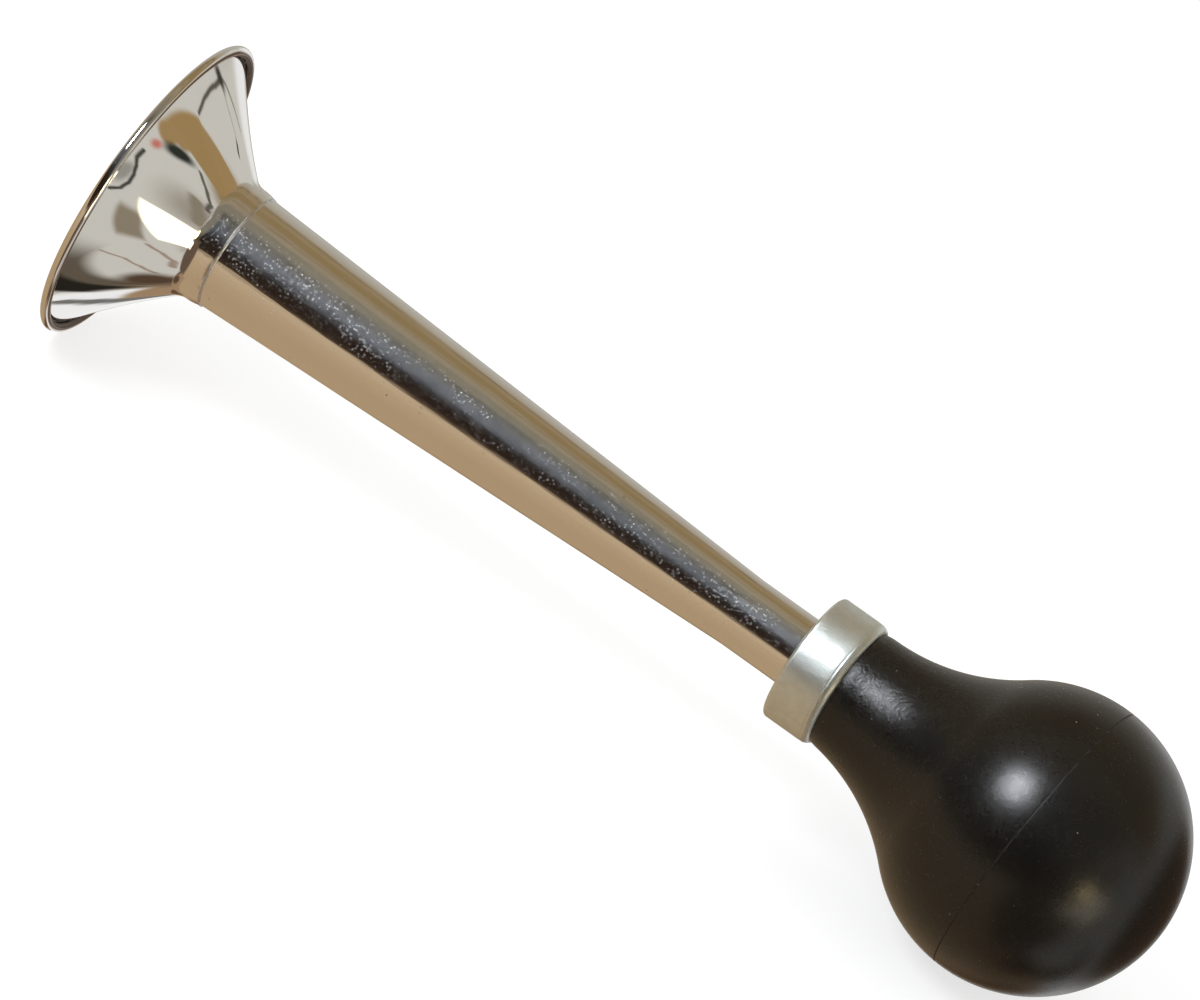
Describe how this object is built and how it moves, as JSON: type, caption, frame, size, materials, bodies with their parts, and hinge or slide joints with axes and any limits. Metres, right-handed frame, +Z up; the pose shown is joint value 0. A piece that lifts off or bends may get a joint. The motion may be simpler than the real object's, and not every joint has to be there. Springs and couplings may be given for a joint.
{
  "type": "bulb horn",
  "caption": "Plated taper horn with a flared bell, a collar and a black rubber squeeze bulb that unscrews from the tail and blows a sprung reed.",
  "frame": {"origin": "bottom centre of the object's box, on the ground that the rim of the bell and the rubber bulb lie on", "axes": "+X along the level horn from the mouth to the bulb, +Z up, +Y to the left of someone looking along +X"},
  "size_m": [0.3048, 0.0828, 0.0828],
  "materials": {
    "plate": "bright nickel plate over brass, slightly pitted",
    "rim_steel": "drawn wire",
    "solder": "wiped soft solder",
    "brass": "turned",
    "reed_brass": "rolled spring strip",
    "cork": "ground cork",
    "washer": "oiled leather",
    "collar": "satin",
    "rubber": "matte moulded black rubber"
  },
  "bodies": {
    "horn": {"bell": "plate", "rim_wire": "rim_steel", "bell_solder": "solder", "horn_tube": "plate", "tail_socket": "brass", "tail_solder": "solder", "reed_cork": "cork", "reed_body": "brass", "reed_end_plug": "brass", "reed_clamp": "brass", "reed_screws": "brass"},
    "tongue": {"reed_tongue": "reed_brass"},
    "seal": {"gasket": "washer"},
    "bulb_fitting": {"collar": "collar", "neck_bush": "brass"},
    "bulb": {"rubber_bulb": "rubber"}
  },
  "joints": [
    {"name": "reed_beat", "type": "hinge", "parent": "horn", "child": "tongue", "pos_m": [0.06277, 0, 0.04233], "axis": [0, -1, 0], "range_deg": [-1.7, 2], "stiffness_Nm_per_rad": 0.01, "deforming": ["reed_tongue"]},
    {"name": "bulb_draw_off", "type": "slide", "parent": "horn", "child": "seal", "axis": [1, 0, 0], "range_m": [0, 0.0091]},
    {"name": "bulb_unscrew", "type": "hinge", "parent": "seal", "child": "bulb_fitting", "pos_m": [0.04817, 0, 0.0414], "axis": [1, 0, 0], "range_deg": [0, 2160]},
    {"name": "bulb_squeeze", "type": "slide", "parent": "bulb_fitting", "child": "bulb", "axis": [0, 0, -1], "range_m": [0, 0.022], "stiffness_N_per_m": 1500, "deforming": ["rubber_bulb"]}
  ],
  "couplings": [
    {"joint": "bulb_draw_off", "follows": "bulb_unscrew", "m_per_rad": 0.00023873}
  ]
}
